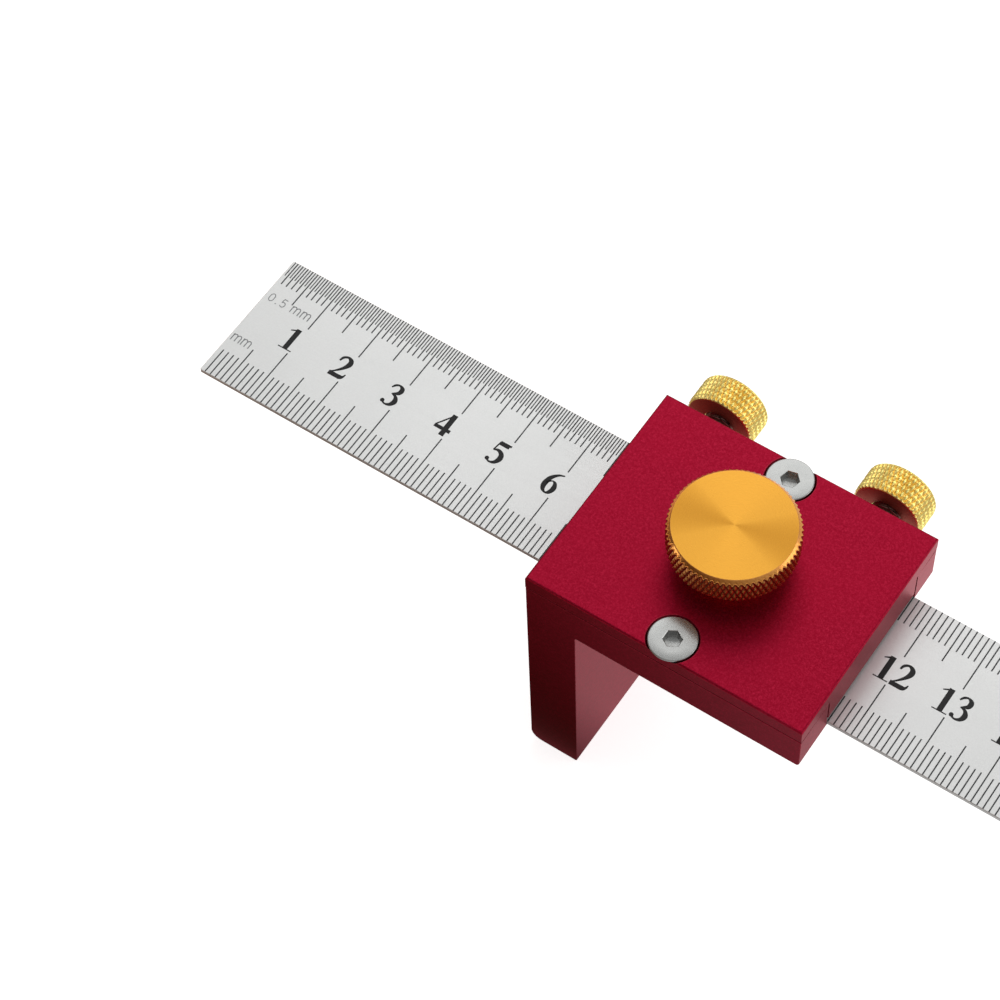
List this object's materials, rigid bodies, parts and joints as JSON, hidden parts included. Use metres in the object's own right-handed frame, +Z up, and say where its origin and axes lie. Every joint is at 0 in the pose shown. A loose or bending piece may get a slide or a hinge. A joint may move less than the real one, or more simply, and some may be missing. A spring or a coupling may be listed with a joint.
{
  "type": "marking gauge",
  "caption": "Marking gauge: an L-shaped aluminium fence block clamps a sliding graduated steel rule with a top knob and side thumbscrews.",
  "frame": {"origin": "where the fence's working face meets the rule's underside, on the rule's centreline", "axes": "+X along the rule from the fence face to the block's free end, +Y out of the side with the thumbscrews, +Z up through the clamp knob"},
  "size_m": [0.225, 0.0487, 0.0594],
  "materials": {
    "rule_steel": "satin chromed steel with black etched graduations",
    "red_anodised": "fine bead-blasted, red anodised",
    "gold_anodised": "turned and knurled, gold anodised",
    "screw_steel": "zinc plated, satin",
    "pad_brass": "turned brass"
  },
  "bodies": {
    "fence": {"fence_body": "red_anodised", "cover_plate": "red_anodised", "cover_screw_near": "screw_steel", "cover_screw_far": "screw_steel"},
    "rule": {"steel_rule": "rule_steel"},
    "clamp_shoe": {"clamp_pad": "pad_brass"},
    "clamp_screw": {"clamp_knob": "gold_anodised", "clamp_stud": "screw_steel"},
    "side_shoe_fence_end": {"side_pad_fence_end": "pad_brass"},
    "side_screw_fence_end": {"side_knob_fence_end": "gold_anodised", "side_stud_fence_end": "screw_steel"},
    "side_shoe_free_end": {"side_pad_free_end": "pad_brass"},
    "side_screw_free_end": {"side_knob_free_end": "gold_anodised", "side_stud_free_end": "screw_steel"}
  },
  "joints": [
    {"name": "rule_slide", "type": "slide", "parent": "fence", "child": "rule", "axis": [1, 0, 0], "range_m": [-0.109, 0.068]},
    {"name": "clamp_shoe_lift", "type": "slide", "parent": "fence", "child": "clamp_shoe", "axis": [0, 0, 1], "range_m": [-0.0001, 0.001]},
    {"name": "clamp_screw_turn", "type": "hinge", "parent": "clamp_shoe", "child": "clamp_screw", "pos_m": [0.024, -0.00105, 0.0095], "axis": [0, 0, 1], "range_deg": [-35, 360]},
    {"name": "side_shoe_travel_fence_end", "type": "slide", "parent": "fence", "child": "side_shoe_fence_end", "axis": [0, 1, 0], "range_m": [-0.0001, 0.0024]},
    {"name": "side_screw_turn_fence_end", "type": "hinge", "parent": "side_shoe_fence_end", "child": "side_screw_fence_end", "pos_m": [0.0076, 0.01865, 0.0029], "axis": [0, 1, 0], "range_deg": [-44, 1080]},
    {"name": "side_shoe_travel_free_end", "type": "slide", "parent": "fence", "child": "side_shoe_free_end", "axis": [0, 1, 0], "range_m": [-0.0001, 0.0024]},
    {"name": "side_screw_turn_free_end", "type": "hinge", "parent": "side_shoe_free_end", "child": "side_screw_free_end", "pos_m": [0.0376, 0.01865, 0.0029], "axis": [0, 1, 0], "range_deg": [-44, 1080]}
  ],
  "couplings": [
    {"joint": "clamp_screw_turn", "follows": "clamp_shoe_lift", "rad_per_m": 6283.2},
    {"joint": "side_screw_turn_fence_end", "follows": "side_shoe_travel_fence_end", "rad_per_m": 7854},
    {"joint": "side_screw_turn_free_end", "follows": "side_shoe_travel_free_end", "rad_per_m": 7854}
  ]
}
